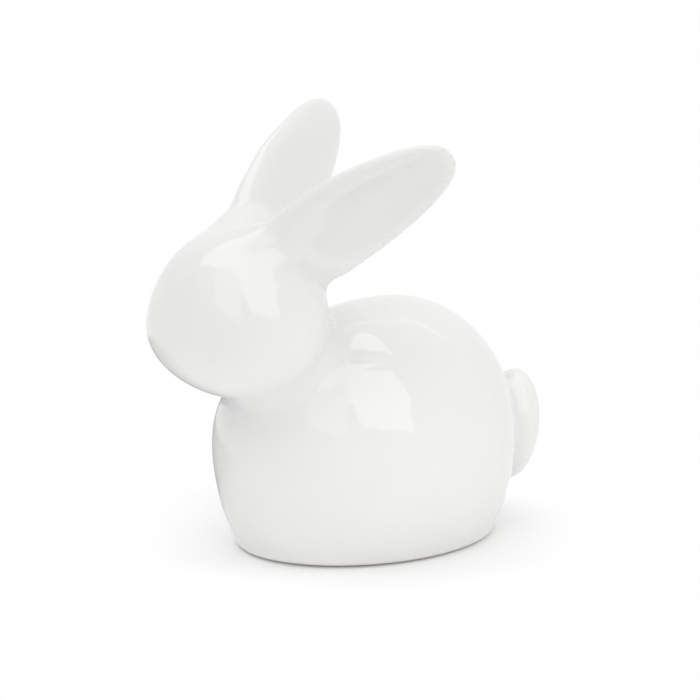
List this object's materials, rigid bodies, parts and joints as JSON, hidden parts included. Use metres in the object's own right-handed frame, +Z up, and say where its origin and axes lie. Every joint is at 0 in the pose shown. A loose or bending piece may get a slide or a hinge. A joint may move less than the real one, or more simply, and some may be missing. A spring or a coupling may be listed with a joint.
{
  "type": "ceramic rabbit figurine",
  "caption": "Small white glazed ceramic rabbit, sitting, with swept-back scooped ears and a round tail; a free-standing shelf or table ornament.",
  "frame": {"origin": "middle of the felt's underside, on the surface that the figurine stands on", "axes": "the rabbit faces -Y, +X is its left side, +Z is up"},
  "size_m": [0.068, 0.1059, 0.1073],
  "materials": {
    "glaze": "clear glossy glaze over a white body",
    "slip": "fired joining slip",
    "bisque": "unglazed, matt",
    "felt": "pressed wool felt"
  },
  "bodies": {
    "root": {"torso_shell": "glaze", "head_shell": "glaze", "left_ear": "glaze", "right_ear": "glaze", "tail": "glaze", "neck_slip": "slip", "left_ear_slip": "slip", "right_ear_slip": "slip", "tail_slip": "slip", "base_slip": "slip", "base_slab": "bisque", "felt_pad": "felt"}
  },
  "joints": []
}
